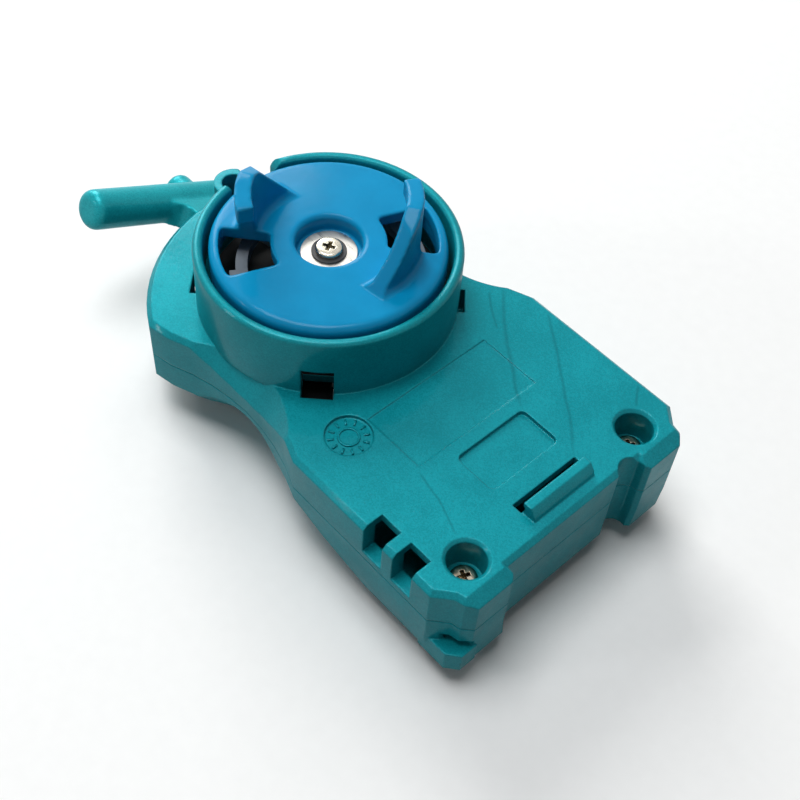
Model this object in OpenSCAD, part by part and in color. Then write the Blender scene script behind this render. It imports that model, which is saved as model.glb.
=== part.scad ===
// Spinning top launcher. A pull on the T handle unwinds the string reel, and gears spin the hooked disc.
// Frame: origin on the spin axis at the flat pad of the back, +Z out through the hooks, +X to the tail.
// Lengths are millimetres and angles are degrees.

/* [Case] */
// Half width of the tail
half_w = 25.5; // [24.5:0.1:28]
// Spin axis to the rear wall
tail_x = 55; // [53:0.5:62]
// How far the rear corner bosses stand out of the rear wall
boss_out = 2; // [1:0.1:3]
// Width of each rear corner boss
boss_w = 11.6; // [10:0.1:13]
// Radius of the round nose
nose_r = 29.2; // [28.6:0.1:32]
// Wall thickness of both shells
wall = 1.6; // [1.3:0.1:1.9]
// Parting line to the front plate
front_h = 7.5; // [6.9:0.1:9.5]
// Back edge to the parting line
back_h = 9.4; // [9:0.1:11]
// Height of the raised pad on the back
hub_h = 3.9; // [3.6:0.1:7]
// Radius of the round end of the pad, which houses the return spring
hub_r = 14.2; // [13.6:0.1:15]
// Reach of the pad towards the tail
pad_x = 44; // [36:1:46]
// Chamfer round the front plate
plate_chamfer = 0.8; // [0.4:0.1:1.2]
// Lean of the back shell's skirt at the tail
skirt_in = 0.8; // [0.3:0.1:1.2]
// Lean of the back shell's skirt round the nose
nose_in = 3; // [1:0.1:3.4]
// Depth of the finger waist in the outline
waist_in = 3.4; // [2:0.1:3.8]
// Waist middle, from the spin axis
waist_x = 6.5; // [4:0.5:9]
// Half length of the waist
waist_half = 15.5; // [14:0.5:17]

/* [Collar] */
// Outer radius of the collar
collar_r = 21.2; // [20.8:0.1:22.5]
// Thickness of the collar's wall
collar_wall = 1.65; // [1.3:0.05:1.9]
// Height of the collar above the plate
collar_h = 11.4; // [10.6:0.1:14]
// Width of the four slots at the collar's foot
slot_w = 5; // [3:0.1:7]
// Height of the four slots
slot_h = 5; // [3:0.1:7]
// Depth of the gap in the rim over the nose
rim_gap_h = 5; // [3:0.1:7]

/* [Hooked disc] */
// Gap between the disc and the collar
disc_gap = 0.85; // [0.5:0.05:1.6]
// Depth of the disc's skirt
disc_t = 5; // [4.5:0.1:5.6]
// Thickness of the disc's top
disc_top_t = 2.2; // [1.6:0.1:2.6]
// Rounding of the disc's top edge
disc_round = 1.3; // [0.5:0.1:1.6]
// Height of the disc's top over the collar's rim
disc_proud = 0.3; // [0:0.1:1]
// Radius of the recess in the middle
recess_r = 5.3; // [4.8:0.1:6.5]
// Depth of the recess in the middle
recess_d = 3; // [2.6:0.1:3.6]
// Inner radius of the hooks
hook_r = 11.6; // [10.8:0.1:12.4]
// Width of the hooks
hook_w = 2.6; // [2:0.1:3.2]
// Height of the hooks over the disc
hook_h = 10.3; // [9:0.1:13]
// Height of the throat under a hook's tip
throat_h = 6.8; // [5:0.1:7.5]
// Inner radius of the windows
window_in = 9.1; // [8.6:0.1:10.2]
// Rim of the disc outside the windows
window_rim = 1.6; // [1.5:0.1:2.4]

/* [Front plate] */
// Radius of the case screw wells
well_r = 3; // [2.6:0.1:3.4]
// Screw wells from the rear wall
well_inset = 4.3; // [4:0.1:7]
// Screw wells from the side wall
well_side = 7.7; // [6.8:0.1:9]
// Length of the shallow rectangular recess
panel_l = 7.6; // [5:0.1:9]
// Width of the shallow rectangular recess
panel_w = 14; // [10:0.5:20]
// Depth of the shallow recesses
panel_d = 0.5; // [0.2:0.1:0.9]
// Length of the catch bar across the plate
catch_l = 12.6; // [8:0.1:16]
// Height of the catch bar
catch_h = 2.2; // [1:0.1:3]
// Width of the slot in front of the catch bar
catch_slot = 1.75; // [1:0.05:2.5]
// Width of the two notches in one side
notch_w = 4; // [3:0.1:4.6]
// Depth of the two notches
notch_d = 3.6; // [2:0.1:4]
// Radius of the round moulding mark
mark_r = 3.7; // [2.5:0.1:4.5]

/* [Mechanism] */
// Radius of the drive shaft
shaft_r = 1.5; // [1.3:0.05:1.7]
// Radius of the idler axle
axle_r = 1.25; // [1:0.05:1.5]
// Reel gear's pitch circle inside the reel's edge
gear_in = 3.4; // [3:0.1:4.4]
// Teeth of the reel gear
reel_teeth = 32; // [30:1:33]
// Room between the reel and the wall of the waist
reel_room = 1.9; // [1.5:0.1:3]
// Depth of the reel's groove
groove_d = 6.6; // [5.6:0.1:9]
// Width of the reel's groove
groove_h = 3.6; // [3:0.1:4]
// Thickness of the wound string
wound_t = 3; // [1.5:0.1:4]
// Radius of the string
string_r = 0.7; // [0.5:0.05:0.8]
// Thickness of the spring strip
strip_t = 0.5; // [0.3:0.05:0.6]
// Turns of the return spring
spring_turns = 7; // [5:1:7]
// Thickness of the clutch plate
clutch_t = 1.8; // [1.2:0.1:2.2]

/* [Handle] */
// Radius of the handle's bar
bar_r = 3.4; // [2.8:0.1:3.4]
// Length of the handle's bar
bar_l = 46; // [36:1:46]
// Roll of the handle as it lies
bar_roll = 26; // [0:1:26]
// Nose to the middle of the bar
bar_out = 8.3; // [7.5:0.1:14]
// Half width of the handle's web at the nose
web_w = 5.4; // [4:0.1:7]
// Thickness of the handle's web
web_t = 4.8; // [4:0.1:6]
// Radius of the plug behind the bar
plug_r = 2.6; // [2.2:0.1:2.8]
// Length of the plug behind the bar
plug_l = 4; // [3.5:0.1:8]

/* [Clearances] */
// Radial clearance of a running shaft
run_gap = 0.05; // [0.03:0.01:0.08]
// Gap between pieces that move past each other
move_gap = 0.3; // [0.2:0.05:0.4]

/* [Hidden] */
$fn = 64;
eps = 0.01;

// Levels, from the hub on the back up to the disc
z_back = hub_h;
z_floor = hub_h + wall;
z_seam = hub_h + back_h;
z_plate = z_seam + front_h;
z_ceil = z_plate - wall;
z_rim = z_plate + collar_h;
z_disc = z_rim + disc_proud;
z_disc_low = z_disc - disc_t;
z_clutch = z_disc_low - clutch_t;
z_tube = z_clutch - move_gap;
z_cup = z_disc - recess_d;

// Disc inside the collar
disc_r = collar_r - collar_wall - disc_gap;
window_out = disc_r - window_rim;

// Reel inside the waist, with its groove on the parting line where the string leaves the nose
reel_r = half_w - waist_in - wall - reel_room;
drum_r = reel_r - groove_d;
gear_m = 2 * (reel_r - gear_in) / reel_teeth;
flange_t = 1;
z_reel_top = z_seam + groove_h / 2 + flange_t;
z_reel_low = z_seam - groove_h / 2 - flange_t;
z_reel_gear = z_floor + move_gap;
arbor_r = shaft_r + 2.1;
bush_wall = 1.1;
bush_r = shaft_r + run_gap + bush_wall;
boss_wall = 1.4;
bearing_top = wall + 1.6;
z_shaft_low = wall / 2 + move_gap;
z_arbor = bearing_top + move_gap;

// Gear train: reel gear to the idler's small wheel, the idler's large wheel to the output pinion
idler_small = 14;
idler_large = 27;
output_teeth = reel_teeth + idler_small - idler_large;
idler_x = gear_m * (reel_teeth + idler_small) / 2;
addendum = 0.8;
backlash = 0.16;

// Hub cavity of the return spring, and its two anchor slots
gear_cavity_r = gear_m * (reel_teeth / 2 + addendum) + move_gap;
spring_cavity_r = hub_r - wall;
anchor_d = 0.7;
anchor_gap = 0.15;

// Where the collar's rim ends over the nose, and the rounding of its end, which meets both faces at an angle
rim_end = 167;
rim_end_r = 2.8;
rim_end_off = 0.15;

// Hook and window angles on the disc, seen from the hooks' side
hook_root = -10;
hook_crest = 25;
hook_post = 41;
hook_tip = 66;
window_end = 84;
window_round = 0.8;
foot_r = 1.1;
arm_in = hook_r + 1.2;
arm_w = 1.9;

// Outline of the case at the parting line, one half
nose_end = 116;
nose_steps = 13;
waist_steps = 8;
nose_corner = [waist_x - waist_half, half_w];
shoulder = [waist_x + waist_half, half_w];
waist_arc_r = (waist_half * waist_half + waist_in * waist_in) / (2 * waist_in);
waist_sweep = asin(waist_half / waist_arc_r);
boss_x = tail_x + boss_out;
boss_in_y = half_w - boss_w;
half_outline = concat(
    [for (i = [0:nose_steps]) let (a = 180 - i * (180 - nose_end) / nose_steps)
        nose_r * [cos(a), sin(a)]],
    [nose_corner],
    [for (i = [1:waist_steps - 1]) let (a = waist_sweep * (2 * i / waist_steps - 1))
        [waist_x + waist_arc_r * sin(a), half_w - waist_in + waist_arc_r * (1 - cos(a))]],
    [shoulder, [boss_x - 5.6, half_w], [boss_x - 3, half_w - 2.3], [boss_x - 1.4, half_w - 2.7],
        [boss_x, half_w - 4.1], [boss_x, boss_in_y + 0.9], [boss_x - 0.7, boss_in_y + 0.2],
        [tail_x, boss_in_y]]);
outline = concat([for (p = half_outline) [p[0], -p[1]]],
    [for (i = [len(half_outline) - 1:-1:1]) half_outline[i]]);

// Finger scoops: cones beside the waist, above and below the parting line
scoop_y = half_w + 11;
scoop_r = scoop_y - half_w + waist_in - 0.1;
scoop_band = front_h * 0.4;
scoop_reach = 3.4;
scoop_low_band = back_h * 0.1;
scoop_wall = 0.6;
scoop_fall = back_h - scoop_low_band;
scoop_low_slope = (half_w - waist_in - max(gear_cavity_r, spring_cavity_r) - scoop_wall) / scoop_fall;

// Case screws
screw_r = 1.05;
head_r = 2.1;
head_t = 1.3;
well_x = tail_x - well_inset;
well_y = half_w - well_side;
z_well = z_seam + wall;
nose_screw_r = nose_r - wall - 2.6;
nose_screw_a = 137;
post_r = 2.9;
mark_x = shoulder[0] + 2;
mark_y = 9.1 - half_w;

// String guide and string
guide_r = 2.3;
guide_flange_r = 3.4;
guide_flange_t = 0.8;
guide_bore = string_r + 0.35;
guide_x = -nose_r + 0.4;
wound_r = drum_r + wound_t;
string_line_r = wound_r + string_r + move_gap;
run_end_x = guide_x + wall + 1;
run_a = 180 - acos(-string_line_r / run_end_x);
stem_x = guide_x - guide_flange_t - move_gap;
bar_x = -nose_r - bar_out;
knot_seat = 0.6;

teal = [0.10, 0.58, 0.64];
blue = [0.11, 0.55, 0.80];

// A vertex moved inwards by d, for an outline that runs anticlockwise
function unit(v) = v / norm(v);
function inset(pts, d) = [for (i = [0:len(pts) - 1]) let (
    n = len(pts),
    u = unit(pts[i] - pts[(i + n - 1) % n]),
    v = unit(pts[(i + 1) % n] - pts[i]),
    nu = [-u[1], u[0]],
    nv = [-v[1], v[0]])
    pts[i] + d * (nu + nv) / (1 + nu * nv)];

// Everything between two heights
module slab(z0, z1) {
    translate([-100, -100, z0])
        cube([200, 200, z1 - z0]);
}

// A solid through a stack of outlines with equal counts, each given as [outline, height]
module loft(loops) {
    n = len(loops[0][0]);
    k = len(loops);
    points = [for (l = loops) for (p = l[0]) [p[0], p[1], l[1]]];
    sides = [for (j = [0:k - 2]) for (i = [0:n - 1])
        let (a = j * n + i, b = j * n + (i + 1) % n)
            each [[a, a + n, b], [a + n, b + n, b]]];
    low = [for (i = [0:n - 1]) i];
    high = [for (i = [n - 1:-1:0]) (k - 1) * n + i];
    polyhedron(points, concat(sides, [low, high]), convexity = 10);
}

module ring(r_out, r_in, z0, z1) {
    translate([0, 0, z0])
        difference() {
            cylinder(r = r_out, h = z1 - z0);
            translate([0, 0, -1])
                cylinder(r = r_in, h = z1 - z0 + 2);
        }
}

// A sector of a ring between two angles
module sector(r_in, r_out, a0, a1, z0, z1) {
    rotate([0, 0, a0])
        rotate_extrude(angle = a1 - a0)
            translate([r_in, z0])
                square([r_out - r_in, z1 - z0]);
}

module rod_x(x0, x1, r) {
    translate([x0, 0, 0])
        rotate([0, 90, 0])
            cylinder(r = r, h = x1 - x0);
}

// Involute spur gear with its first tooth at the angle phase
function inv(r, rb) = let (c = acos(min(1, rb / r))) tan(c) * 180 / PI - c;
function tooth(teeth, k, phase) = let (
    rp = gear_m * teeth / 2,
    rb = rp * cos(20),
    ra = rp + addendum * gear_m,
    rf = rp - (addendum + 0.25) * gear_m,
    half = ((PI * gear_m / 2 - backlash) / 2 / rp) * 180 / PI + inv(rp, rb),
    flank = [for (i = [0:3]) let (r = max(rb, rf) + (ra - max(rb, rf)) * i / 3) [r, half - inv(r, rb)]],
    foot = [rf, half - inv(max(rb, rf), rb)],
    mid = phase + 360 * k / teeth,
    left = concat([[foot[0], -foot[1]]], [for (f = flank) [f[0], -f[1]]]),
    right = concat([for (i = [3:-1:0]) flank[i]], rf < rb ? [foot] : []),
    path = rf < rb ? concat(left, right) : concat([for (i = [1:4]) left[i]], right))
    [for (p = path) p[0] * [cos(mid + p[1]), sin(mid + p[1])]];

module gear(teeth, phase, z0, z1) {
    translate([0, 0, z0])
        linear_extrude(z1 - z0)
            polygon([for (k = [0:teeth - 1]) each tooth(teeth, k, phase)]);
}

// Both sides of the case, mirrored across the middle
module plaque(l, w, r, h) {
    translate([r, 0, 0])
        cube([l - 2 * r, w, h]);
    translate([0, r, 0])
        cube([l, w - 2 * r, h]);
    for (x = [r, l - r], y = [r, w - r])
        translate([x, y, 0])
            cylinder(r = r, h = h, $fn = 32);
}

// Both sides of the case
module both_sides() {
    children();
    mirror([0, 1, 0])
        children();
}

// Cross-head screw pointing down, with the underside of its head at the height z
module screw_down(z, shank_r, length, r, t) {
    difference() {
        union() {
            translate([0, 0, z - length])
                cylinder(r = shank_r, h = length + eps);
            translate([0, 0, z])
                rotate_extrude()
                    polygon([[0, 0], [r, 0], [r, t * 0.45], [r * 0.8, t * 0.85], [r * 0.4, t], [0, t]]);
        }
        for (a = [0, 90])
            rotate([0, 0, a])
                translate([-r * 0.6, -r * 0.11, z + t * 0.35])
                    cube([r * 1.2, r * 0.22, t]);
    }
}

// Front shell
module front_outer() {
    difference() {
        intersection() {
            loft([[outline, z_seam - 1], [outline, z_plate - plate_chamfer],
                [inset(outline, 1.5 * plate_chamfer), z_plate + plate_chamfer / 2]]);
            slab(z_seam, z_plate);
        }
        both_sides()
            translate([waist_x, scoop_y, z_seam + scoop_band])
                cylinder(r1 = scoop_r, r2 = scoop_r + scoop_reach * 1.25, h = 1.25 * (front_h - scoop_band));
        both_sides()
            translate([boss_x, half_w - boss_w - 1, z_plate - 1.4])
                rotate([0, -55, 0])
                    cube([6, boss_w + 4, 6]);
    }
}

module case_hollow(z0, z1, tail_start) {
    translate([0, 0, z0])
        linear_extrude(z1 - z0) {
            intersection() {
                circle(r = nose_r - wall);
                translate([-2 * nose_r, -nose_r])
                    square([2 * nose_r + nose_r * cos(nose_end) - wall, 2 * nose_r]);
            }
            translate([tail_start, -half_w + wall + skirt_in])
                square([tail_x - wall - tail_start, 2 * (half_w - wall - skirt_in)]);
        }
}

module front_hollow() {
    case_hollow(z_seam - 1, z_ceil, shoulder[0] + wall);
    translate([0, 0, z_seam - 1])
        cylinder(r = reel_r + 2 * move_gap, h = z_reel_top + move_gap - z_seam + 1);
    translate([0, 0, z_seam - 1])
        cylinder(r = drum_r + 3.2, h = z_ceil - z_seam + 1);
    translate([0, -drum_r - 3.2, z_seam - 1])
        cube([shoulder[0] + wall + 1, 2 * (drum_r + 3.2), z_ceil - z_seam + 1]);
}

module collar() {
    rim = collar_wall / 2;
    rotate_extrude($fn = 96)
        polygon(concat([[collar_r - collar_wall, z_plate - wall / 2], [collar_r, z_plate - wall / 2]],
            [for (a = [0:30:180]) [collar_r - rim + rim * cos(a), z_rim - rim + rim * sin(a)]]));
    difference() {
        rotate([0, 0, 188])
            translate([collar_r - 0.6, 0, z_plate - eps])
                cylinder(r = 3.2, h = collar_h - 0.6, $fn = 32);
        translate([0, 0, z_plate - 1])
            cylinder(r = collar_r - collar_wall, h = collar_h + 2, $fn = 96);
    }
}

module front_posts() {
    translate([0, 0, z_ceil - eps])
        cylinder(r = bush_r + boss_wall, h = z_tube - z_ceil);
    both_sides()
        translate([well_x, well_y, z_seam])
            cylinder(r = well_r + boss_wall, h = z_ceil - z_seam + 0.5);
    both_sides()
        rotate([0, 0, nose_screw_a])
            translate([nose_screw_r, 0, z_seam])
                cylinder(r = post_r, h = z_ceil - z_seam + 0.5);
}

module catch_bar() {
    translate([well_x - 0.4, 0, z_plate - 0.6])
        rotate([90, 0, 0])
            translate([0, 0, -catch_l / 2])
                linear_extrude(catch_l)
                    polygon([[0, 0], [2.7, 0], [2.2, catch_h * 0.7], [1.3, catch_h + 0.6],
                        [-0.1, catch_h + 0.6], [-0.1, catch_h], [0.3, catch_h - 0.5]]);
}

module front_shell() {
    color(teal)
        difference() {
            union() {
                difference() {
                    front_outer();
                    front_hollow();
                }
                collar();
                front_posts();
                catch_bar();
            }
            for (a = [45:90:315])
                rotate([0, 0, a])
                    translate([reel_r - 1, -slot_w / 2, z_reel_top])
                        cube([collar_r + 1 - reel_r + 1, slot_w, z_plate + slot_h - z_reel_top]);
            sector(collar_r - 4, collar_r + 4, rim_end, 181, z_rim - rim_gap_h, z_rim + 1);
            rotate([0, 0, rim_end])
                translate([collar_r - 4, -rim_end_r, z_rim - rim_end_r])
                    difference() {
                        cube([8, rim_end_r + 0.2, rim_end_r + 1]);
                        translate([-1, rim_end_off, rim_end_off])
                            rotate([0, 90, 0])
                                cylinder(r = rim_end_r, h = 10);
                    }
            rotate([0, 0, 188])
                translate([collar_r - 0.6, 0, z_plate + 1])
                    cylinder(r = 1.9, h = collar_h + 1, $fn = 32);
            translate([0, 0, z_ceil - 1])
                cylinder(r = bush_r, h = z_tube - z_ceil + 2);
            translate([idler_x, 0, z_ceil - 1])
                cylinder(r = axle_r, h = 1 + wall / 2);
            both_sides()
                translate([well_x, well_y, 0]) {
                    translate([0, 0, z_well])
                        cylinder(r = well_r, h = front_h + 2);
                    translate([0, 0, z_plate - 0.5])
                        cylinder(r1 = well_r, r2 = well_r + 0.7, h = 0.7);
                    translate([0, 0, z_seam - 1])
                        cylinder(r = screw_r + 0.15, h = wall + 2);
                }
            both_sides()
                rotate([0, 0, nose_screw_a])
                    translate([nose_screw_r, 0, z_seam - 1])
                        cylinder(r = screw_r, h = z_ceil - z_seam);
            translate([0, 0, z_seam])
                rod_x(-nose_r - 2, -nose_r + wall + 2, guide_r);
            translate([0, 0, z_seam])
                rod_x(-nose_r - 2, guide_x, guide_flange_r + 0.15);
            translate([well_x - 13.4, -panel_w / 2, z_plate - panel_d])
                plaque(panel_l, panel_w, 1, 2);
            translate([well_x - 0.4 - catch_slot, -catch_l / 2 - 0.3, z_ceil - 1])
                cube([catch_slot, catch_l + 0.6, wall + 2]);
            for (i = [0, 1])
                translate([well_x - 13.1 + i * (notch_w + 2.1), -half_w - 1, z_seam + 1.4])
                    cube([notch_w, notch_d + 1, front_h]);
            translate([mark_x, mark_y, z_plate - 0.35])
                cylinder(r = mark_r, h = 1, $fn = 40);
            translate([tail_x + 0.7, boss_in_y - 2.3, z_seam - 1])
                cylinder(r = 2.2, h = front_h + 2, $fn = 32);
        }
}

// Back shell
module back_outer() {
    skirt_z = z_back + back_h * 0.45;
    nose_low = inset(outline, nose_in);
    low = [for (i = [0:len(outline) - 1]) outline[i][0] < shoulder[0] - 1 ? nose_low[i] :
        [outline[i][0], outline[i][1] * (1 - skirt_in / half_w)]];
    difference() {
        intersection() {
            loft([[1.2 * low - 0.2 * outline, z_back - 0.2 * (skirt_z - z_back)], [outline, skirt_z],
                [outline, z_seam + 1]]);
            slab(z_back, z_seam);
        }
        both_sides()
            translate([waist_x, scoop_y, z_back - 1])
                cylinder(r1 = scoop_r + scoop_low_slope * (scoop_fall + 1), r2 = scoop_r, h = scoop_fall + 1);
        both_sides()
            finger_bevel();
        translate([boss_x - 4, -half_w - 3.5, z_seam - 5.1])
            cube([8, 8, 1.7]);
    }
    cylinder(r = hub_r, h = z_floor, $fn = 96);
    translate([0, -hub_r * 0.75, 0])
        cube([pad_x, hub_r * 1.5, z_back + wall / 2]);
    translate([0, 0, z_back + 0.2])
        linear_extrude(back_h - 5.25)
            polygon([[boss_x - 7, 5 - half_w], [boss_x - 7, 0.4 - half_w], [boss_x - 1.6, 0.4 - half_w],
                [boss_x + 0.3, 2 - half_w], [boss_x + 0.3, 5 - half_w]]);
}

// The tail's lower edge rises towards the waist
module finger_bevel() {
    x0 = waist_x + 6;
    x1 = shoulder[0] + 25;
    z0 = z_back - 1;
    polyhedron([[x0, half_w + 1, z0], [x1, half_w + 1, z0], [x0, half_w - 8.7, z0],
        [x0, half_w + 1, z0 + 12.1]], [[0, 2, 1], [0, 3, 2], [0, 1, 3], [1, 2, 3]]);
}

module back_hollow() {
    case_hollow(z_floor, z_seam + 1, shoulder[0] + 13);
    translate([0, 0, z_reel_low - move_gap])
        cylinder(r = reel_r + 2 * move_gap, h = back_h);
    translate([0, 0, z_floor])
        cylinder(r = gear_cavity_r, h = back_h);
    translate([0, -drum_r - 3.2, z_floor])
        cube([shoulder[0] + 14, 2 * (drum_r + 3.2), back_h]);
    translate([0, 0, wall])
        cylinder(r = spring_cavity_r, h = back_h);
    translate([0, -strip_t - anchor_gap, wall])
        cube([spring_cavity_r + anchor_d + anchor_gap, strip_t + 2 * anchor_gap, hub_h]);
}

module back_posts() {
    cylinder(r = bush_r + boss_wall, h = bearing_top);
    translate([idler_x, 0, z_back + eps])
        cylinder(r = axle_r + 1.2, h = wall + move_gap - eps);
    both_sides()
        translate([well_x, well_y, z_back + eps])
            cylinder(r = post_r, h = back_h - eps);
    both_sides()
        rotate([0, 0, nose_screw_a])
            translate([nose_screw_r, 0, z_back + eps])
                cylinder(r = post_r, h = back_h - eps);
}

module back_shell() {
    color(teal)
        difference() {
            union() {
                difference() {
                    back_outer();
                    back_hollow();
                }
                back_posts();
            }
            translate([0, 0, wall / 2])
                cylinder(r = bush_r, h = bearing_top);
            translate([idler_x, 0, z_back + wall / 2])
                cylinder(r = axle_r, h = 2 * wall);
            both_sides()
                translate([well_x, well_y, z_back + wall])
                    cylinder(r = screw_r, h = back_h);
            both_sides()
                rotate([0, 0, nose_screw_a])
                    translate([nose_screw_r, 0, 0]) {
                        cylinder(r = head_r + 0.3, h = z_back + head_t + 1);
                        cylinder(r = screw_r + 0.15, h = z_seam + 1);
                    }
            translate([0, 0, z_seam])
                rod_x(-nose_r - 2, -nose_r + wall + 2, guide_r);
            translate([0, 0, z_seam])
                rod_x(-nose_r - 2, guide_x, guide_flange_r + 0.15);
            translate([tail_x + 0.7, boss_in_y - 2.3, z_back - 1])
                cylinder(r = 2.2, h = back_h + 2, $fn = 32);
        }
}

// Hooked disc
module hook() {
    r = hook_r + hook_w / 2;
    mid = (hook_root + hook_crest) / 2;
    run = 2 * r * sin((hook_crest - hook_root) / 2);
    crest = hook_h - 0.5;
    difference() {
        union() {
            sector(hook_r, hook_r + hook_w, hook_root, hook_tip, -disc_top_t, hook_h);
            rotate([0, 0, hook_root - 3])
                rotate_extrude(angle = hook_post - hook_root + 1.5)
                    polygon([[hook_r + 0.4, -0.6], [hook_r - foot_r, -0.25], [hook_r - foot_r * 0.3, 0.45],
                        [hook_r + 0.4, foot_r * 2], [hook_r + hook_w - 0.4, foot_r * 2],
                        [hook_r + hook_w + foot_r * 0.3, 0.45], [hook_r + hook_w + foot_r, -0.25],
                        [hook_r + hook_w - 0.4, -0.6]]);
        }
        rotate([0, 0, mid])
            translate([0, -run / 2, 0])
                rotate([atan2(crest, run), 0, 0])
                    translate([0, -20, 0])
                        cube([40, 60, 30]);
        sector(hook_r - 1, hook_r + hook_w + 1, hook_post, hook_tip + 8, -disc_top_t - 1, throat_h);
        rotate([0, 0, hook_crest + 9])
            translate([0, 0, hook_h])
                rotate([27, 0, 0])
                    translate([0, -40, 0])
                        cube([40, 40, 20]);
        rotate([0, 0, hook_tip - 25])
            translate([0, 0, hook_h])
                rotate([-6, 0, 0])
                    cube([40, 40, 20]);
    }
}

// Window in the disc under a hook's tip, with a slanted far edge
module window() {
    n = 8;
    inner = [for (i = [0:n]) let (a = hook_post + (window_end - hook_post) * i / n)
        window_in * [cos(a), sin(a)]];
    outer = [for (i = [n:-1:0]) let (a = hook_post + (window_end - 7 - hook_post) * i / n)
        window_out * [cos(a), sin(a)]];
    translate([0, 0, z_disc_low - 1])
        linear_extrude(disc_t + 2)
            offset(r = window_round, $fn = 24)
                offset(delta = -window_round)
                    polygon(concat(inner, outer));
}

module prong_disc() {
    skirt = 1.5;
    cup = recess_r + 1.3;
    round_pts = [for (a = [0:15:90]) [disc_r - disc_round + disc_round * cos(a),
        z_disc - disc_round + disc_round * sin(a)]];
    color(blue)
        union() {
            difference() {
                rotate_extrude($fn = 96)
                    polygon(concat([[shaft_r, z_disc_low], [cup, z_disc_low], [cup, z_disc - disc_top_t],
                        [disc_r - skirt, z_disc - disc_top_t], [disc_r - skirt, z_disc_low],
                        [disc_r, z_disc_low]], round_pts,
                        [[recess_r + 0.5, z_disc], [recess_r, z_disc - 0.5], [recess_r, z_cup],
                            [shaft_r, z_cup]]));
                for (turn = [0, 180])
                    rotate([0, 0, turn])
                        window();
            }
            for (turn = [0, 180])
                rotate([0, 0, turn])
                    translate([0, 0, z_disc])
                        hook();
        }
}

// White clutch plate with two sprung arms under the disc
module clutch_plate() {
    color("white")
        translate([0, 0, z_clutch])
            difference() {
                union() {
                    cylinder(r = recess_r, h = clutch_t);
                    for (turn = [0, 180])
                        rotate([0, 0, turn]) {
                            rotate([0, 0, hook_root + 20])
                                translate([recess_r - 1, -2.2, 0])
                                    cube([arm_in + arm_w / 2 - recess_r + 1, 4.4, clutch_t]);
                            sector(arm_in, arm_in + arm_w, hook_root + 10, window_end + 12, 0, clutch_t);
                            sector(arm_in + 0.2, arm_in + arm_w + 1, hook_post + 16, window_end + 8, 0, clutch_t);
                        }
                }
                translate([0, 0, -1])
                    cylinder(r = shaft_r, h = clutch_t + 2);
            }
}

module centre_washer() {
    color("silver")
        ring(recess_r - 0.8, 1.4, z_cup, z_cup + 0.5);
}

module spacer_ring() {
    color([0.08, 0.08, 0.08])
        ring(2.8, 1.3, z_cup + 0.5, z_cup + 0.8);
}

module centre_screw() {
    color("gainsboro")
        screw_down(z_cup + 0.8, shaft_r * 0.6, 5, 2.2, 0.9);
}

// Shaft, bushings and gears
module drive_shaft() {
    color("silver")
        difference() {
            translate([0, 0, z_shaft_low])
                cylinder(r = shaft_r, h = z_cup - z_shaft_low);
            translate([0, 0, z_cup - 5])
                cylinder(r = shaft_r * 0.6, h = 6);
        }
}

module front_bushing() {
    color("goldenrod")
        ring(bush_r, shaft_r + run_gap, z_ceil, z_tube);
}

module back_bushing() {
    color("goldenrod")
        difference() {
            translate([0, 0, wall / 2])
                cylinder(r = bush_r, h = bearing_top - wall / 2);
            translate([0, 0, z_shaft_low - 0.1])
                cylinder(r = shaft_r + run_gap, h = bearing_top);
        }
}

module output_pinion() {
    color("white")
        difference() {
            gear(output_teeth, 0, z_reel_top + move_gap, z_ceil - move_gap);
            translate([0, 0, z_seam])
                cylinder(r = shaft_r, h = front_h + 2);
        }
}

module idler_gear() {
    color("white")
        translate([idler_x, 0, 0])
            difference() {
                union() {
                    gear(idler_small, 180 + 180 / idler_small, z_floor + 2 * move_gap,
                        z_reel_low - move_gap);
                    translate([0, 0, z_floor + 2 * move_gap])
                        cylinder(r = axle_r + 1.4, h = z_ceil - z_floor - 3 * move_gap);
                    gear(idler_large, 180 + 180 / idler_large, z_reel_top + move_gap, z_ceil - move_gap);
                }
                translate([0, 0, z_back])
                    cylinder(r = axle_r + run_gap, h = z_plate);
            }
}

module idler_axle() {
    color("silver")
        translate([idler_x, 0, z_back + wall / 2])
            cylinder(r = axle_r, h = z_ceil + wall / 2 - z_back - wall / 2);
}

module string_reel() {
    color("ivory")
        difference() {
            union() {
                translate([0, 0, z_arbor])
                    cylinder(r = arbor_r, h = z_reel_low - z_arbor);
                gear(reel_teeth, 0, z_reel_gear, z_reel_low + eps);
                rotate_extrude($fn = 96)
                    polygon([[0, z_reel_low], [reel_r, z_reel_low], [reel_r, z_reel_low + flange_t],
                        [drum_r, z_reel_low + flange_t], [drum_r, z_reel_top - flange_t],
                        [reel_r, z_reel_top - flange_t], [reel_r, z_reel_top], [0, z_reel_top]]);
            }
            translate([0, 0, -1])
                cylinder(r = shaft_r + run_gap, h = z_plate);
            translate([arbor_r - anchor_d - move_gap, -strip_t - move_gap, z_arbor - 1])
                cube([anchor_d + 2 * move_gap, strip_t + 2 * move_gap, z_floor - z_arbor + 1]);
        }
}

module reel_string() {
    color("whitesmoke")
        ring(wound_r, drum_r, z_reel_low + flange_t, z_reel_top - flange_t);
}

// String from the wound turns, round the mouth of the guide and into the handle
module pull_string() {
    tangent = string_line_r * [cos(run_a), sin(run_a)];
    run = [run_end_x, 0] - tangent;
    color("whitesmoke")
        translate([0, 0, z_seam]) {
            translate([tangent[0], tangent[1], 0])
                rotate([0, 0, atan2(run[1], run[0])])
                    rod_x(0, norm(run), string_r);
            translate([run_end_x, 0, 0])
                sphere(r = string_r * 1.1, $fn = 24);
            rod_x(bar_x + knot_seat, run_end_x, string_r);
        }
}

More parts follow.
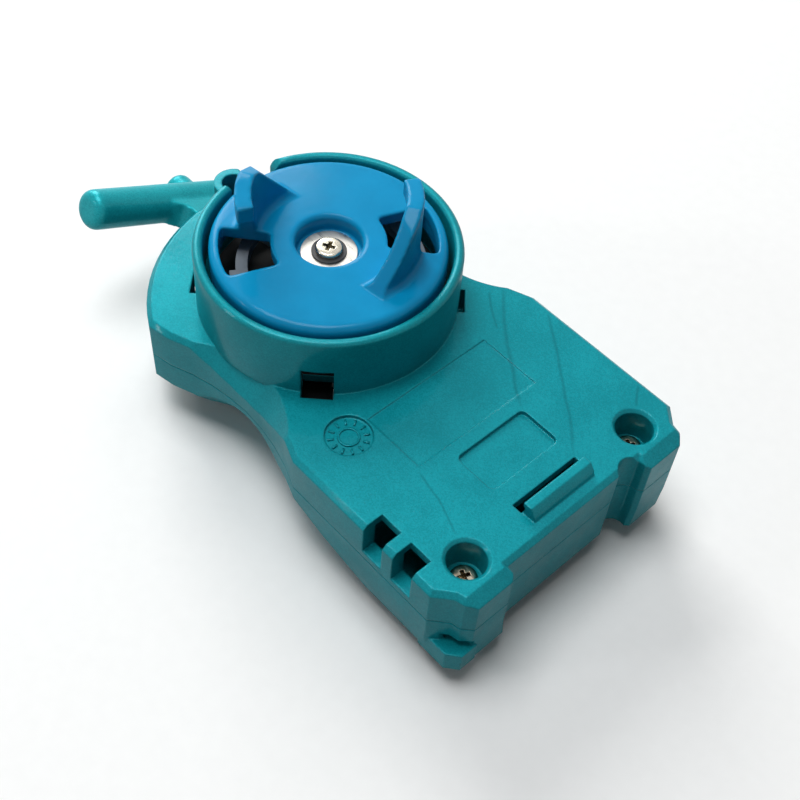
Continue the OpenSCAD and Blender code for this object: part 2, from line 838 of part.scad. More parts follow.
// Flat spiral spring in the hub, hooked into the hub's wall
module return_spring() {
    r0 = bush_r + boss_wall + move_gap + strip_t / 2;
    r1 = spring_cavity_r - 1.2;
    pitch = (r1 - r0) / spring_turns;
    steps = 24 * spring_turns;
    z0 = wall + move_gap;
    z1 = z_floor - 0.2;
    edge = function (i, side) let (a = 15 * i, r = r0 + pitch * a / 360 + side * strip_t / 2)
        r * [cos(a), sin(a)];
    color("slategray") {
        translate([0, 0, z0])
            linear_extrude(z1 - z0) {
                polygon(concat([for (i = [0:steps]) edge(i, -1)], [for (i = [steps:-1:0]) edge(i, 1)]));
                translate([r1 - strip_t / 2, -strip_t])
                    square([1.2 + strip_t / 2 + anchor_d, strip_t + eps]);
            }
        translate([arbor_r - anchor_d, -strip_t, z_arbor + 0.2])
            cube([r0 + strip_t / 2 - arbor_r + anchor_d, strip_t + eps, z1 - z_arbor - 0.2]);
    }
}

module string_guide() {
    color("goldenrod")
        translate([0, 0, z_seam])
            difference() {
                union() {
                    rod_x(guide_x - guide_flange_t / 2, guide_x + wall + 0.6, guide_r);
                    rod_x(guide_x - guide_flange_t, guide_x, guide_flange_r);
                }
                rod_x(guide_x - 2, guide_x + 6, guide_bore);
            }
}

// Handle: a round bar with a stem to the nose and a plug over the knot
module pull_handle() {
    end_r = bar_r * 0.45;
    half = bar_l / 2;
    core_r = bar_r - end_r;
    low_end = [for (a = [-90:15:0]) [core_r + end_r * cos(a), -half + end_r + end_r * sin(a)]];
    high_end = [for (a = [0:15:90]) [core_r + end_r * cos(a), half - end_r + end_r * sin(a)]];
    profile = concat([[0, -half]], low_end, high_end, [[0, half]]);
    web_side = [[bar_x, -web_w - 3.4], [bar_x + bar_r - 0.1, -web_w - 2],
        [bar_x + bar_r + 0.9, -web_w - 0.6], [bar_x + bar_r + 2, -web_w], [stem_x, -web_w]];
    color(teal)
        translate([0, 0, z_seam])
            difference() {
                union() {
                    translate([bar_x, 0, 0])
                        rotate([-bar_roll, 0, 0])
                            rotate([90, 0, 0])
                                rotate_extrude()
                                    polygon(profile);
                    rotate([-bar_roll, 0, 0])
                        translate([0, 0, -web_t / 2])
                            linear_extrude(web_t)
                                polygon(concat(web_side, [for (i = [len(web_side) - 1:-1:0])
                                    [web_side[i][0], -web_side[i][1]]]));
                }
                rod_x(bar_x - 1, stem_x + 1, string_r + run_gap);
                rod_x(bar_x - 20, bar_x + knot_seat, 1.8);
                rod_x(bar_x - 20, bar_x - bar_r * 0.5, plug_r);
            }
}

module handle_plug() {
    r = plug_r;
    x0 = bar_x - bar_r * 0.5;
    color(teal)
        translate([x0, 0, z_seam])
            rotate([0, -90, 0])
                rotate_extrude()
                    polygon(concat([[0, 0], [r, 0]],
                        [for (a = [0:15:90]) [r - 1.6 + 1.6 * cos(a), plug_l - 1.6 + 1.6 * sin(a)]],
                        [[0, plug_l]]));
}

module string_knot() {
    color("whitesmoke")
        translate([bar_x + knot_seat, 0, z_seam])
            rotate([0, -90, 0])
                rotate_extrude()
                    polygon([[0, 0], [1, 0], [1.5, 0.5], [1.5, 1.4], [1, 1.9], [0, 1.9]]);
}

// Case screws
module tail_screw(side) {
    color("silver")
        translate([well_x, side * well_y, 0])
            screw_down(z_well, screw_r, back_h, head_r, head_t);
}

module tail_screw_left() {
    tail_screw(-1);
}

module tail_screw_right() {
    tail_screw(1);
}

module nose_screw(side) {
    color("silver")
        rotate([0, 0, side * nose_screw_a])
            translate([nose_screw_r, 0, z_back + head_t + 1])
                mirror([0, 0, 1])
                    screw_down(0, screw_r, back_h + 2, head_r, head_t);
}

module nose_screw_left() {
    nose_screw(-1);
}

module nose_screw_right() {
    nose_screw(1);
}

front_shell();
back_shell();
prong_disc();
drive_shaft();
front_bushing();
back_bushing();
output_pinion();
idler_gear();
idler_axle();
string_reel();
reel_string();
pull_string();
return_spring();
string_guide();
pull_handle();
handle_plug();
string_knot();
clutch_plate();
centre_washer();
spacer_ring();
centre_screw();
tail_screw_left();
tail_screw_right();
nose_screw_left();
nose_screw_right();
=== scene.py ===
from math import acos, cos, pi, radians, sin, tau

import bpy
from mathutils import Matrix, Vector


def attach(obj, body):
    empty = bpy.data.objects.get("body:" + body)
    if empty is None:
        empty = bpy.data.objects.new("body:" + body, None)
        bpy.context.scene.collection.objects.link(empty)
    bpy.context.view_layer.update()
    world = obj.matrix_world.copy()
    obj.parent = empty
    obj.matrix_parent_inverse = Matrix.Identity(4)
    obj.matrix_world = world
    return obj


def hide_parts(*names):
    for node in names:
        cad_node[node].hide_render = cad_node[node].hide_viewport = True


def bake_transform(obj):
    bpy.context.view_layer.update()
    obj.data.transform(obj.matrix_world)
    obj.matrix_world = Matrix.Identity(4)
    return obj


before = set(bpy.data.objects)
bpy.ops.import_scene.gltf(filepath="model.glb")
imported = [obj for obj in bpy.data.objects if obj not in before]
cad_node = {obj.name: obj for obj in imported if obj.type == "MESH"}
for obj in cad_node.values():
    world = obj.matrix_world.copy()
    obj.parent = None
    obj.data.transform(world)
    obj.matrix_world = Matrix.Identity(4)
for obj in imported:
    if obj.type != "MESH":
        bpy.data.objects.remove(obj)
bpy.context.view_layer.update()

# Metres in a millimetre, and the levels of the solids in mm
MM = 0.001
SEAM = 13.3
PLATE = 20.8
DISC_TOP = 32.5
UP = Vector((0.0, 0.0, 1.0))


# Hand tools
def select_only(piece):
    bpy.ops.object.select_all(action="DESELECT")
    piece.select_set(True)
    bpy.context.view_layer.objects.active = piece


def edit(piece, select="SELECT"):
    select_only(piece)
    bpy.ops.object.mode_set(mode="EDIT")
    bpy.ops.mesh.select_all(action=select)


def done():
    bpy.ops.object.mode_set(mode="OBJECT")


def pick(piece, test):
    """Into edit mode, with the vertices selected whose place in mm passes the test."""
    edit(piece, "DESELECT")
    done()
    for vertex in piece.data.vertices:
        vertex.select = test(vertex.co / MM)
    bpy.ops.object.mode_set(mode="EDIT")


def pick_faces(piece, test):
    """Into edit mode, with the faces selected whose middle in mm and normal pass the test."""
    edit(piece, "DESELECT")
    done()
    for face in piece.data.polygons:
        face.select = test(face.center / MM, face.normal)
    bpy.context.tool_settings.mesh_select_mode = (False, False, True)
    bpy.ops.object.mode_set(mode="EDIT")
    bpy.context.tool_settings.mesh_select_mode = (True, False, False)


def apply_modifier(piece, kind, **settings):
    select_only(piece)
    modifier = piece.modifiers.new(kind.lower(), kind)
    for key, value in settings.items():
        setattr(modifier, key, value)
    bpy.ops.object.modifier_apply(modifier=modifier.name)


def smooth_by_angle(piece, angle=30):
    select_only(piece)
    bpy.ops.object.shade_smooth_by_angle(angle=radians(angle))


def take_node(node, name):
    """A piece with the shape of a CAD node, its triangles joined."""
    piece = bpy.data.objects.new(name, cad_node[node].data.copy())
    bpy.context.scene.collection.objects.link(piece)
    piece.data.materials.clear()
    select_only(piece)
    bpy.ops.mesh.customdata_custom_splitnormals_clear()
    edit(piece)
    bpy.ops.mesh.remove_doubles(threshold=2e-6)
    done()
    return piece


def settle(piece):
    """Puts a new piece's place into its mesh."""
    select_only(piece)
    bpy.ops.object.transform_apply(location=True, rotation=True, scale=True)


def fit(piece, body, slot, *nodes):
    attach(piece, body)
    if nodes:
        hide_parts(*nodes)
    return piece


# Materials
class Finish:
    """A node material under construction."""

    def __init__(self, name):
        self.material = bpy.data.materials.new(name)
        self.material.use_nodes = True
        self.tree = self.material.node_tree
        self.shader = self.tree.nodes["Principled BSDF"]
        self.place = self.tree.nodes.new("ShaderNodeTexCoord").outputs["Object"]

    def add(self, kind, settings=None, **inputs):
        node = self.tree.nodes.new("ShaderNode" + kind)
        for key, value in (settings or {}).items():
            setattr(node, key, value)
        for key, value in inputs.items():
            socket = node.inputs[int(key[2:]) if key.startswith("at") else key.replace("_", " ")]
            self.put(socket, value)
        return node

    def put(self, socket, value):
        if isinstance(value, bpy.types.NodeSocket):
            self.tree.links.new(value, socket)
        else:
            socket.default_value = value

    def noise(self, scale, detail=2.0, roughness=0.5, place=None):
        return self.add("TexNoise", Vector=place or self.place, Scale=scale, Detail=detail,
                        Roughness=roughness).outputs["Fac"]

    def math(self, how, a, b=0.0, clamp=False):
        return self.add("Math", {"operation": how, "use_clamp": clamp}, at0=a, at1=b).outputs[0]

    def ramp(self, value, low, high, to_low=0.0, to_high=1.0):
        node = self.add("MapRange", {"interpolation_type": "SMOOTHSTEP"}, at0=value, at1=low, at2=high,
                        at3=to_low, at4=to_high)
        return node.outputs[0]

    def mix(self, factor, a, b):
        return self.add("Mix", {"data_type": "RGBA"}, at0=factor, at6=a, at7=b).outputs[2]

    def edge(self, radius):
        """The normal of an edge that is softened by radius mm."""
        return self.add("Bevel", {"samples": 6}, Radius=radius * MM).outputs[0]

    def bump(self, height, distance, strength=1.0, normal=None):
        node = self.add("Bump", Height=height, Distance=distance, Strength=strength)
        if normal:
            self.put(node.inputs["Normal"], normal)
        return node.outputs["Normal"]

    def finish(self, **inputs):
        for key, value in inputs.items():
            self.put(self.shader.inputs[key.replace("_", " ")], value)
        return self.material


def pearl_plastic(name, deep, bright, edge, flow_lines=()):
    """Teal plastic with a fine pearl flake, and darker lines where two streams of plastic met."""
    made = Finish(name)
    cloud = made.noise(90.0, 3.0, 0.55)
    flake = made.add("TexVoronoi", Vector=made.place, Scale=5200.0)
    spark = made.add("SeparateColor", Color=flake.outputs["Color"]).outputs[0]
    tone = made.math("ADD", made.math("MULTIPLY", cloud, 0.7), made.math("MULTIPLY", spark, 0.3))
    colour = made.mix(made.ramp(tone, 0.3, 0.72), deep, bright)
    for line in flow_lines:
        colour = made.mix(flow_line(made, *line), colour, tuple(0.6 * c for c in deep[:3]) + (1.0,))
    normal = made.edge(edge) if edge else None
    normal = made.bump(made.noise(1000.0, 2.0), 1.6e-5, 1.0, normal)
    normal = made.bump(spark, 5.0e-6, 0.5, normal)
    rough = made.ramp(made.noise(220.0, 4.0), 0.3, 0.7, 0.34, 0.44)
    return made.finish(Base_Color=colour, Metallic=0.24, Roughness=rough, Normal=normal,
                       Specular_IOR_Level=0.03, Coat_Weight=0.15, Coat_Roughness=0.10, Coat_Normal=normal)


def flow_line(made, start, end, bow, width):
    """A soft dark line on the plate from start to end, bowed to its left, all in mm."""
    a, b = Vector(start) * MM, Vector(end) * MM
    run = b - a
    turn = Vector((1.0, 0.0)).angle_signed(run)
    moved = made.add("Mapping", {"vector_type": "TEXTURE"}, Vector=made.place,
                     Location=(a.x, a.y, 0.0), Rotation=(0.0, 0.0, -turn)).outputs[0]
    part = made.add("SeparateXYZ", Vector=moved)
    along = made.math("DIVIDE", part.outputs[0], run.length)
    arch = made.math("MULTIPLY", along, made.math("SUBTRACT", 1.0, along))
    arch = made.math("MULTIPLY", arch, 4.0 * bow * MM)
    wander = made.math("MULTIPLY", made.math("SUBTRACT", made.noise(140.0, 2.0), 0.5), 0.9 * MM)
    across = made.math("ABSOLUTE", made.math("SUBTRACT", made.math("ADD", part.outputs[1], wander), arch))
    line = made.ramp(across, width * MM, 0.0)
    ends = made.math("MULTIPLY", made.ramp(along, -0.02, 0.12), made.ramp(along, 1.02, 0.88))
    level = made.ramp(part.outputs[2], 18.5 * MM, 20.0 * MM)
    return made.math("MULTIPLY", made.math("MULTIPLY", line, ends), made.math("MULTIPLY", level, 0.5))


def plain_plastic(name, deep, bright, roughness, specular=0.4, edge=0.0, coat=0.0):
    """Moulded plastic of one colour, a little cloudy; edge is the softening of its edges in mm."""
    made = Finish(name)
    colour = made.mix(made.ramp(made.noise(120.0, 4.0, 0.6), 0.3, 0.7), deep, bright)
    rough = made.ramp(made.noise(260.0, 3.0), 0.3, 0.7, roughness - 0.04, roughness + 0.06)
    normal = made.edge(edge) if edge else None
    normal = made.bump(made.noise(1100.0, 2.0), 1.2e-5, 1.0, normal)
    return made.finish(Base_Color=colour, Roughness=rough, Normal=normal, Specular_IOR_Level=specular,
                       Coat_Weight=coat, Coat_Roughness=0.10, Coat_Normal=normal)


def plated_metal(name, dark, light, roughness, brush):
    """Plated metal with fine marks; brush is how much longer the marks are than wide."""
    made = Finish(name)
    moved = made.add("Mapping", Vector=made.place, Scale=(brush, 1.0, brush)).outputs[0]
    streak = made.noise(1600.0, 2.0, 0.5, moved)
    colour = made.mix(made.ramp(streak, 0.3, 0.7), dark, light)
    rough = made.ramp(streak, 0.3, 0.7, roughness - 0.03, roughness + 0.05)
    normal = made.bump(streak, 4.0e-7, 1.0, made.edge(0.12))
    return made.finish(Base_Color=colour, Metallic=1.0, Roughness=rough, Normal=normal)


def cord_fibre(name):
    """Twisted white fibre with a fuzz."""
    made = Finish(name)
    fuzz = made.noise(4200.0, 4.0, 0.7)
    colour = made.mix(made.ramp(fuzz, 0.3, 0.7), (0.62, 0.61, 0.57, 1), (0.88, 0.87, 0.83, 1))
    normal = made.bump(fuzz, 6.0e-5)
    return made.finish(Base_Color=colour, Roughness=0.85, Sheen_Weight=0.3, Normal=normal)


# Weld lines on the plate: start, end, bow and width
WELDS = (
    ((17.5, 22.8), (37.0, 7.0), -0.6, 0.55),
    ((16.6, 20.6), (23.6, 15.5), -0.3, 0.4),
    ((25.7, 24.7), (48.3, 6.8), 0.4, 0.5),
    ((35.2, -12.9), (47.0, -16.3), 0.4, 0.35),
    ((45.6, 24.2), (48.3, 20.8), 0.0, 0.4),
)
CASE_EDGE = 0.42
case_pearl = pearl_plastic("case_pearl", (0.002, 0.215, 0.255, 1), (0.005, 0.280, 0.330, 1), CASE_EDGE,
                           WELDS)
handle_pearl = pearl_plastic("handle_pearl", (0.008, 0.310, 0.355, 1), (0.014, 0.400, 0.450, 1), 0.0)
disc_plastic = plain_plastic("disc_plastic", (0.001, 0.245, 0.480, 1), (0.002, 0.275, 0.530, 1), 0.32, 0.03,
                             coat=0.16)
white_acetal = plain_plastic("white_acetal", (0.70, 0.70, 0.67, 1), (0.82, 0.82, 0.79, 1), 0.45, 0.5, 0.15)
# Painted shade: white acetal darkened to grey for the clutch plate, to stand in for the shade under the
# disc
white_acetal_in_painted_shade = plain_plastic("white_acetal_in_painted_shade", (0.20, 0.23, 0.26, 1), (0.27, 0.30, 0.33, 1), 0.45, 0.4, 0.15)
# Near-black plastic: the reel's own colour, and also painted shade on the case floor under the disc
dark_acetal_and_painted_shade = plain_plastic("dark_acetal_and_painted_shade", (0.010, 0.011, 0.012, 1), (0.02, 0.021, 0.022, 1),
                            0.5, 0.3, 0.15)
black_rubber = plain_plastic("black_rubber", (0.008, 0.008, 0.009, 1), (0.02, 0.02, 0.021, 1),
                             0.45, 0.5, 0.1)
zinc_plate = plated_metal("zinc_plate", (0.30, 0.26, 0.19, 1), (0.60, 0.54, 0.43, 1), 0.20, 0.25)
bright_zinc = plated_metal("bright_zinc", (0.46, 0.43, 0.35, 1), (0.54, 0.50, 0.42, 1), 0.20, 0.25)
nickel_plate = plated_metal("nickel_plate", (0.50, 0.48, 0.44, 1), (0.58, 0.56, 0.52, 1), 0.30, 0.3)
spring_strip = plated_metal("spring_strip", (0.22, 0.23, 0.26, 1), (0.40, 0.41, 0.44, 1), 0.32, 0.05)
turned_brass = plated_metal("turned_brass", (0.52, 0.33, 0.10, 1), (0.80, 0.58, 0.25, 1), 0.26, 0.2)
string_fibre = cord_fibre("string_fibre")

# Case halves: a hair of a gap at the parting line, a plain shallow panel, and painted shade: a near-black
# floor under the disc, where there is only shade
SEAM_GAP = 0.12
RECESS_FLOOR = PLATE - 0.5
RECESS_FROM_X = 36.0
RECESS_TO_X = 46.0
RECESS_HALF_W = 8.0
MARK_FLOOR = PLATE - 0.35
MARK_MIDDLE = Vector((24.0, -16.4))
MARK_REACH = 4.0
DEEPER = 0.25
PANEL_MIDDLE_X = 29.25
PANEL_L = 11.3
PANEL_W = 24.6
PANEL_DEPTH = 0.16
COLLAR_BORE_R = 19.7
CASE_SMOOTH = 28


def raise_by(piece, height, test):
    """Moves the vertices that pass the test up by height mm."""
    pick(piece, test)
    bpy.ops.transform.translate(value=(0.0, 0.0, height * MM))
    done()


def in_recess(p):
    return RECESS_FROM_X < p.x < RECESS_TO_X and abs(p.y) < RECESS_HALF_W


def in_mark(p):
    return (p.xy - MARK_MIDDLE).length < MARK_REACH


def sunk_panel(piece):
    """Cuts the plain panel into the plate."""
    bpy.ops.object.select_all(action="DESELECT")
    height = 1.0
    bpy.ops.mesh.primitive_cube_add(
        size=1.0, location=(PANEL_MIDDLE_X * MM, 0.0, (PLATE + 0.5 * height - PANEL_DEPTH) * MM),
        scale=(PANEL_L * MM, PANEL_W * MM, height * MM))
    panel = bpy.context.object
    settle(panel)
    apply_modifier(piece, "BOOLEAN", operation="DIFFERENCE", object=panel, solver="EXACT")
    bpy.data.objects.remove(panel)


front = take_node("front_shell", "case_front")
raise_by(front, SEAM_GAP, lambda p: abs(p.z - SEAM) < 0.002)
raise_by(front, -DEEPER, lambda p: abs(p.z - RECESS_FLOOR) < 0.01 and in_recess(p))
raise_by(front, -DEEPER, lambda p: abs(p.z - MARK_FLOOR) < 0.01 and in_mark(p))
sunk_panel(front)
smooth_by_angle(front, CASE_SMOOTH)
front.data.materials.append(case_pearl)
# Painted shade: the near-black second material goes on the plate's floor inside the collar, under the disc
front.data.materials.append(dark_acetal_and_painted_shade)
pick_faces(front, lambda p, n: n.z > 0.9 and abs(p.z - PLATE) < 0.02 and p.xy.length < COLLAR_BORE_R)
front.active_material_index = 1
bpy.ops.object.material_slot_assign()
done()
fit(front, "case", "case_teal", "front_shell")

back = take_node("back_shell", "case_back")
smooth_by_angle(back, CASE_SMOOTH)
back.data.materials.append(case_pearl)
fit(back, "case", "case_teal", "back_shell")


# Round mark by the waist: a raised ring and plain ticks
RING_R = 1.75
RING_W = 0.35
RAISED = 0.26
TICKS = 12
TICK_R = 2.75
TICK_L = 0.95
TICK_W = 0.34


def mould_mark():
    middle = Vector((*MARK_MIDDLE, MARK_FLOOR - DEEPER - 0.01))
    bpy.ops.object.select_all(action="DESELECT")
    bpy.ops.mesh.primitive_circle_add(vertices=48, radius=RING_R * MM, fill_type="NGON",
                                      location=middle * MM)
    ring = bpy.context.object
    bpy.ops.object.mode_set(mode="EDIT")
    bpy.ops.mesh.select_all(action="SELECT")
    bpy.ops.mesh.inset(thickness=RING_W * MM)
    bpy.ops.mesh.delete(type="FACE")
    done()
    apply_modifier(ring, "SOLIDIFY", thickness=RAISED * MM, offset=1.0)
    bpy.ops.object.select_all(action="DESELECT")
    bpy.ops.mesh.primitive_cube_add(size=1.0, location=(middle + Vector((TICK_R, 0.0, 0.5 * RAISED))) * MM,
                                    scale=(TICK_L * MM, TICK_W * MM, RAISED * MM))
    tick = bpy.context.object
    settle(tick)
    edit(tick)
    bpy.ops.mesh.spin(steps=TICKS - 1, dupli=True, angle=tau * (TICKS - 1) / TICKS, center=middle * MM,
                      axis=(0, 0, 1))
    done()
    settle(ring)
    select_only(ring)
    tick.select_set(True)
    bpy.ops.object.join()
    ring.name = "mould_mark"
    apply_modifier(ring, "BEVEL", width=0.05 * MM, segments=2, limit_method="ANGLE",
                   angle_limit=radians(40))
    smooth_by_angle(ring, 30)
    ring.data.materials.append(case_pearl)
    fit(ring, "case", "case_teal")


mould_mark()

# Hooked disc: every edge is soft, the hooks' most of all
DISC_VOXEL = 0.22
HOOK_FOOT = DISC_TOP + 0.8
disc = take_node("prong_disc", "hooked_disc")
apply_modifier(disc, "REMESH", mode="VOXEL", voxel_size=DISC_VOXEL * MM, use_smooth_shade=True)
apply_modifier(disc, "SMOOTH", factor=0.5, iterations=3)
hooks = disc.vertex_groups.new(name="hooks")
hooks.add([v.index for v in disc.data.vertices if v.co.z > HOOK_FOOT * MM], 1.0, "REPLACE")
apply_modifier(disc, "SMOOTH", factor=0.5, iterations=6, vertex_group="hooks")
disc.data.materials.append(disc_plastic)
fit(disc, "disc", "disc_blue", "prong_disc")

# Handle, with soft edges too
HANDLE_VOXEL = 0.3
handle = take_node("pull_handle", "pull_handle_bar")
apply_modifier(handle, "REMESH", mode="VOXEL", voxel_size=HANDLE_VOXEL * MM, use_smooth_shade=True)
apply_modifier(handle, "SMOOTH", factor=0.5, iterations=8)
handle.data.materials.append(handle_pearl)
fit(handle, "handle", "handle_teal", "pull_handle")


# Screws: the cross recess as shares of the head's size, the steps of the shank as shares of its own
DOME = 0.52
CROSS_L = 1.3
CROSS_W = 0.40
CROSS_DEEP = 3.0
CROSS_TAPER = 0.45
SHANK_STEPS = ((0.86, 1.0), (0.14, 0.35))


def cross_screw(name, place, head_r, head_t, shank_r, shank_l, turn, body, node, slot, finish, down=False):
    """A pan head with a tapered cross recess and a pointed shank; place is the head's seat, in mm."""
    bpy.ops.object.select_all(action="DESELECT")
    bpy.ops.mesh.primitive_cylinder_add(vertices=48, radius=head_r * MM, depth=head_t * MM,
                                        location=(0.0, 0.0, 0.5 * head_t * MM))
    screw = bpy.context.object
    screw.name = name
    settle(screw)
    pick_faces(screw, lambda p, n: n.z > 0.9)
    bpy.ops.mesh.bevel(offset=DOME * head_t * MM, segments=5, affect="EDGES")
    done()
    pick_faces(screw, lambda p, n: n.z < -0.9)
    bpy.ops.mesh.inset(thickness=(head_r - shank_r) * MM)
    for share, width in SHANK_STEPS:
        step = (0.0, 0.0, -share * shank_l * MM)
        bpy.ops.mesh.extrude_region_move(TRANSFORM_OT_translate={"value": step})
        bpy.ops.transform.resize(value=(width, width, 1.0))
    done()
    wings = []
    for angle in (0.0, 90.0):
        bpy.ops.object.select_all(action="DESELECT")
        bpy.ops.mesh.primitive_cube_add(size=1.0, location=(0.0, 0.0, head_t * MM),
                                        scale=(CROSS_L * head_r * MM, CROSS_W * head_r * MM,
                                               CROSS_DEEP * head_t * MM),
                                        rotation=(0.0, 0.0, radians(angle)))
        wing = bpy.context.object
        settle(wing)
        pick(wing, lambda p: p.z < head_t)
        bpy.ops.transform.resize(value=(CROSS_TAPER, CROSS_TAPER, 1.0), center_override=(0.0, 0.0, 0.0))
        done()
        wings.append(wing)
    for wing in wings:
        apply_modifier(screw, "BOOLEAN", operation="DIFFERENCE", object=wing, solver="EXACT")
        bpy.data.objects.remove(wing)
    screw.rotation_euler = (pi if down else 0.0, 0.0, radians(turn))
    screw.location = Vector(place) * MM
    settle(screw)
    smooth_by_angle(screw, 35)
    screw.data.materials.append(finish)
    fit(screw, body, slot, node)


CASE_HEAD = (2.1, 1.3, 1.03)
TAIL_X = 50.7
TAIL_Y = 17.8
TAIL_SEAT = 14.9
NOSE_R = 25.0
NOSE_BEARING = 137.0
NOSE_SEAT = 6.2
CENTRE_SEAT = 30.3
cross_screw("centre_cross_screw", (0.0, 0.0, CENTRE_SEAT), 2.2, 0.9, 0.88, 5.0, 28.0,
            "disc", "centre_screw", "bright_steel", bright_zinc)
for side, label in ((-1, "left"), (1, "right")):
    cross_screw("tail_cross_screw_" + label, (TAIL_X, TAIL_Y * side, TAIL_SEAT), *CASE_HEAD, 9.4,
                20.0 + 40.0 * side, "case", "tail_screw_" + label, "steel", zinc_plate)
    bearing = radians(NOSE_BEARING * side)
    cross_screw("nose_cross_screw_" + label, (NOSE_R * cos(bearing), NOSE_R * sin(bearing), NOSE_SEAT),
                *CASE_HEAD, 11.4, 15.0, "case", "nose_screw_" + label, "steel", zinc_plate, down=True)


# String: three strands, as shares of the cord's radius, and how long one twist is in mm
STRANDS = 3
STRAND_R = 0.52
STRAND_OUT = 0.48
TWIST_L = 3.4


def twisted_cord(name, path, radius):
    """Strands laid round each other along a nearly level path of points, in mm."""
    curve = bpy.data.curves.new(name, "CURVE")
    curve.dimensions = "3D"
    curve.bevel_depth = STRAND_R * radius * MM
    curve.bevel_resolution = 1
    curve.use_fill_caps = True
    for strand in range(STRANDS):
        spline = curve.splines.new("POLY")
        spline.points.add(len(path) - 1)
        run = 0.0
        for i, here in enumerate(path):
            ahead = path[min(i + 1, len(path) - 1)] - path[max(i - 1, 0)]
            side = UP.cross(ahead).normalized()
            turn = tau * (run / TWIST_L + strand / STRANDS)
            spot = here + (side * cos(turn) + UP * sin(turn)) * STRAND_OUT * radius
            spline.points[i].co = (spot.x * MM, spot.y * MM, spot.z * MM, 1.0)
            run += (path[min(i + 1, len(path) - 1)] - here).length
    piece = bpy.data.objects.new(name, curve)
    bpy.context.scene.collection.objects.link(piece)
    select_only(piece)
    bpy.ops.object.convert(target="MESH")
    bpy.ops.object.shade_smooth()
    piece.data.materials.append(string_fibre)
    return piece


def wound_path():
    """Three layers on the drum, out and back; each stop is turns, radius and height."""
    points_per_turn = 200
    stops = ((0.0, 12.64, -1.15), (2.0, 12.64, 1.15), (2.3, 13.5, 1.15), (4.3, 13.5, -1.15),
             (4.6, 14.38, -1.15), (6.6, 14.38, 1.15))
    path = []
    for (t0, r0, z0), (t1, r1, z1) in zip(stops, stops[1:]):
        count = int((t1 - t0) * points_per_turn)
        for i in range(count):
            share = i / count
            turn = tau * (t0 + (t1 - t0) * share)
            r = r0 + (r1 - r0) * share
            path.append(Vector((r * cos(turn), r * sin(turn), SEAM + z0 + (z1 - z0) * share)))
    return path


wound = twisted_cord("wound_string", wound_path(), 0.6)
fit(wound, "reel", "string", "reel_string")


def run_path():
    """From the wound turns to the mouth of the guide, round it, and straight into the handle."""
    line_r = 16.0
    mouth = -26.2
    knot_x = -36.9
    bearing = pi - acos(line_r / -mouth)
    leave = Vector((line_r * cos(bearing), line_r * sin(bearing), SEAM))
    bend = Vector((mouth, 0.0, SEAM))
    into = bend + (leave - bend).normalized() * 2.0
    out = bend + Vector((-2.0, 0.0, 0.0))
    path = [leave.lerp(into, i / 60) for i in range(60)]
    path += [into.lerp(bend, i / 16).lerp(bend.lerp(out, i / 16), i / 16) for i in range(16)]
    path += [out.lerp(Vector((knot_x, 0.0, SEAM)), i / 110) for i in range(111)]
    return path


# The pulled string is drawn out just outside the guide
pull = twisted_cord("pull_cord", run_path(), 0.66)
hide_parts("pull_string")
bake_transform(pull)


def end_knot():
    """An overhand knot drawn tight."""
    middle_x = -37.85
    loop = 0.33
    thick = 0.45
    curve = bpy.data.curves.new("end_knot", "CURVE")
    curve.dimensions = "3D"
    curve.bevel_depth = 0.48 * MM
    curve.bevel_resolution = 3
    spline = curve.splines.new("POLY")
    count = 96
    spline.points.add(count - 1)
    spline.use_cyclic_u = True
    for i in range(count):
        t = tau * i / count
        y = loop * (sin(t) + 2.0 * sin(2.0 * t))
        z = loop * (cos(t) - 2.0 * cos(2.0 * t))
        x = -thick * sin(3.0 * t)
        spline.points[i].co = ((x + middle_x) * MM, y * MM, (z + SEAM) * MM, 1.0)
    piece = bpy.data.objects.new("end_knot", curve)
    bpy.context.scene.collection.objects.link(piece)
    select_only(piece)
    bpy.ops.object.convert(target="MESH")
    bpy.ops.object.shade_smooth()
    piece.data.materials.append(string_fibre)
    fit(piece, "handle", "string", "string_knot")


end_knot()

# Return spring: its inner end stops short of the arbor, which turns past it
ARBOR_R = 3.6
END_DEPTH = 0.7
END_GAP = 0.12
spring = take_node("return_spring", "flat_spring")
pick(spring, lambda p: 0.0 < p.x < ARBOR_R and abs(p.y) < 1.0)
bpy.ops.transform.translate(value=((END_DEPTH + END_GAP) * MM, 0.0, 0.0))
done()
smooth_by_angle(spring, 30)
spring.data.materials.append(spring_strip)
fit(spring, "case", "spring_steel", "return_spring")

# Nodes that keep their solid shape
KEPT = {
    "drive_shaft": zinc_plate, "front_bushing": turned_brass, "back_bushing": turned_brass,
    "output_pinion": white_acetal, "idler_gear": white_acetal, "idler_axle": zinc_plate,
    "string_reel": dark_acetal_and_painted_shade, "string_guide": turned_brass,
    # The clutch plate's grey is painted shade on its white plastic
    "handle_plug": handle_pearl, "clutch_plate": white_acetal_in_painted_shade, "centre_washer": nickel_plate,
    "spacer_ring": black_rubber,
}
for node, material in KEPT.items():
    cad_node[node].data.materials.clear()
    cad_node[node].data.materials.append(material)


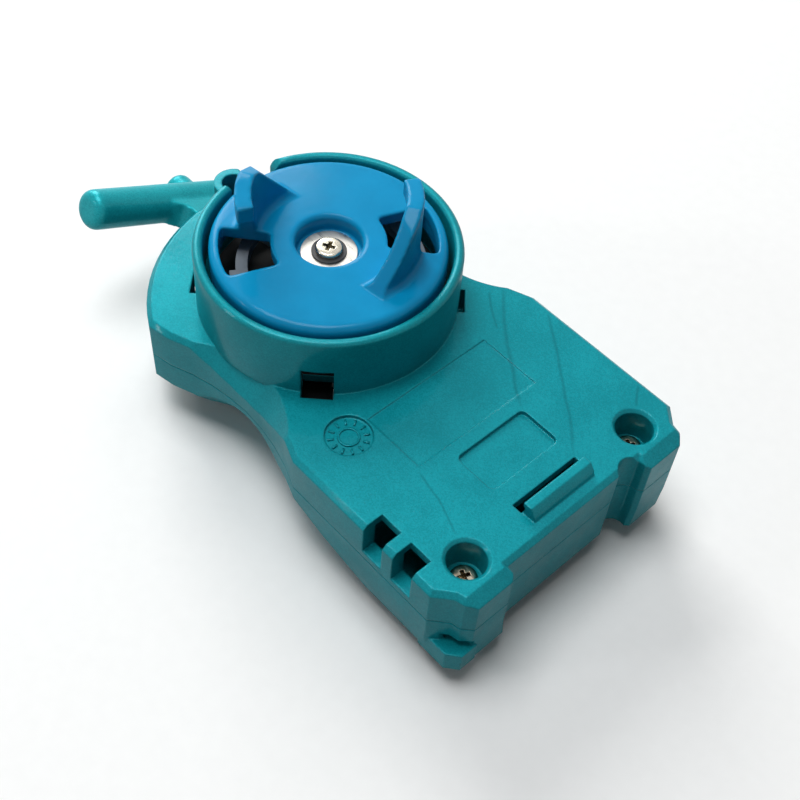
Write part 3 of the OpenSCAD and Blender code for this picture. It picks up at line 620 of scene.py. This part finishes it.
# Floor, light and camera
def studio():
    bpy.ops.object.select_all(action="DESELECT")
    just_under = -0.0002
    bpy.ops.mesh.primitive_plane_add(size=6.0, location=(0.0, 0.0, just_under))
    floor = bpy.context.object
    floor.name = "floor"
    made = Finish("floor_paper")
    path = made.add("LightPath")
    seen = made.math("MAXIMUM", path.outputs["Is Camera Ray"], path.outputs["Is Glossy Ray"])
    seen = made.math("MAXIMUM", seen, path.outputs["Is Transmission Ray"])
    fibre = made.noise(400.0, 5.0)
    paper = made.mix(fibre, (0.88, 0.885, 0.88, 1), (0.92, 0.925, 0.92, 1))
    made.finish(Base_Color=made.mix(seen, (0.30, 0.31, 0.31, 1), paper), Roughness=0.9)
    glow = made.add("Emission", Color=(1.0, 1.0, 1.0, 1.0), Strength=1.0)
    spread = made.add("VectorMath", {"operation": "LENGTH"}, at0=made.place).outputs["Value"]
    near, far = 0.07, 0.45
    share = made.math("MULTIPLY", seen, made.ramp(spread, near, far))
    both = made.add("MixShader", Fac=share, at1=made.shader.outputs[0], at2=glow.outputs[0])
    made.tree.links.new(both.outputs[0], made.tree.nodes["Material Output"].inputs["Surface"])
    floor.data.materials.append(made.material)

    world = bpy.data.worlds.new("studio_air")
    bpy.context.scene.world = world
    world.use_nodes = True
    sky = world.node_tree.nodes["Background"]
    sky.inputs["Color"].default_value = (0.97, 0.985, 1.0, 1)
    nodes, links = world.node_tree.nodes, world.node_tree.links
    path = nodes.new("ShaderNodeLightPath")
    seen = path.outputs["Is Camera Ray"]
    for way in ("Is Glossy Ray", "Is Transmission Ray"):
        either = nodes.new("ShaderNodeMath")
        either.operation = "MAXIMUM"
        links.new(seen, either.inputs[0])
        links.new(path.outputs[way], either.inputs[1])
        seen = either.outputs[0]
    level = nodes.new("ShaderNodeMapRange")
    air_light = 0.10
    level.inputs["To Min"].default_value = air_light
    level.inputs["To Max"].default_value = 1.0
    links.new(seen, level.inputs["Value"])
    links.new(level.outputs[0], sky.inputs["Strength"])

    aim = Vector((0.01, 0.0, 0.02))

    def soft_box(name, place, size, power, colour):
        light = bpy.data.lights.new(name, "AREA")
        light.shape = "RECTANGLE"
        light.size, light.size_y = size
        light.energy = power
        light.color = colour
        lamp = bpy.data.objects.new(name, light)
        lamp.location = place
        lamp.rotation_euler = (aim - Vector(place)).to_track_quat("-Z", "Y").to_euler()
        bpy.context.scene.collection.objects.link(lamp)

    soft_box("key_box", (-1.12, 0.42, 0.70), (0.73, 0.73), 14.4, (1.0, 0.99, 0.97))
    soft_box("edge_box", (-0.32, -0.58, 0.32), (0.08, 0.08), 0.40, (1.0, 1.0, 1.0))
    soft_box("top_box", (-0.21, -0.10, 1.31), (0.7, 0.7), 12.2, (0.98, 0.99, 1.0))


def photo_camera():
    """The camera that was solved from the photograph, rolled a little."""
    az, el, roll = radians(43.68), radians(52.03), radians(5.07)
    back_dir = Vector((sin(az) * cos(el), -cos(az) * cos(el), sin(el)))
    right = Vector((cos(az), sin(az), 0.0))
    up = back_dir.cross(right)
    right_rolled = cos(roll) * right + sin(roll) * up
    up_rolled = cos(roll) * up - sin(roll) * right
    data = bpy.data.cameras.new("photo_camera")
    data.lens = 56.66
    data.sensor_width = 36.0
    camera = bpy.data.objects.new("photo_camera", data)
    turn = Matrix((right_rolled, up_rolled, back_dir)).transposed().to_4x4()
    camera.matrix_world = Matrix.Translation(Vector((105.38, -91.34, 171.77)) * MM) @ turn
    bpy.context.scene.collection.objects.link(camera)
    bpy.context.scene.camera = camera


studio()
photo_camera()
bpy.context.scene.view_settings.view_transform = "Standard"
